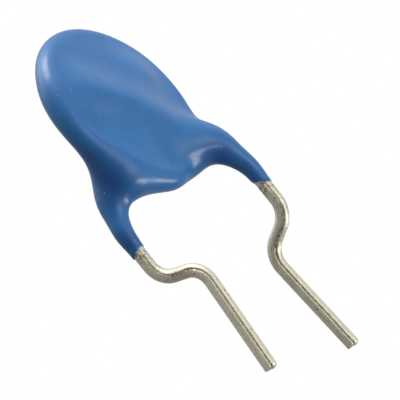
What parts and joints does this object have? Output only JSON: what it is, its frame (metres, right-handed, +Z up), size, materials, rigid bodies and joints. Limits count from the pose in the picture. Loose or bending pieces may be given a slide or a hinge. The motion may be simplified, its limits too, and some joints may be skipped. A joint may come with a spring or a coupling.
{
  "type": "ceramic disc capacitor",
  "caption": "Dipped ceramic disc capacitor with two radial wire leads, kinked to stand off a circuit board.",
  "frame": {"origin": "on the axis of the front lead's straight end, where it begins: the plane of the board", "axes": "+Z up from the board towards the disc, the disc parallel to XZ, its front face looking along -Y, the rear lead towards -X"},
  "size_m": [0.0087, 0.0032, 0.0174],
  "materials": {
    "epoxy": "glossy dipped coat",
    "ceramic": "fired, matt",
    "silver": "fired silver, matt",
    "solder": "reflowed solder, bright",
    "tinned_wire": "tinned wire, satin"
  },
  "bodies": {
    "root": {"epoxy_coating": "epoxy", "ceramic_disc": "ceramic", "front_electrode": "silver", "rear_electrode": "silver", "front_solder": "solder", "rear_solder": "solder", "front_lead": "tinned_wire", "rear_lead": "tinned_wire"}
  },
  "joints": []
}
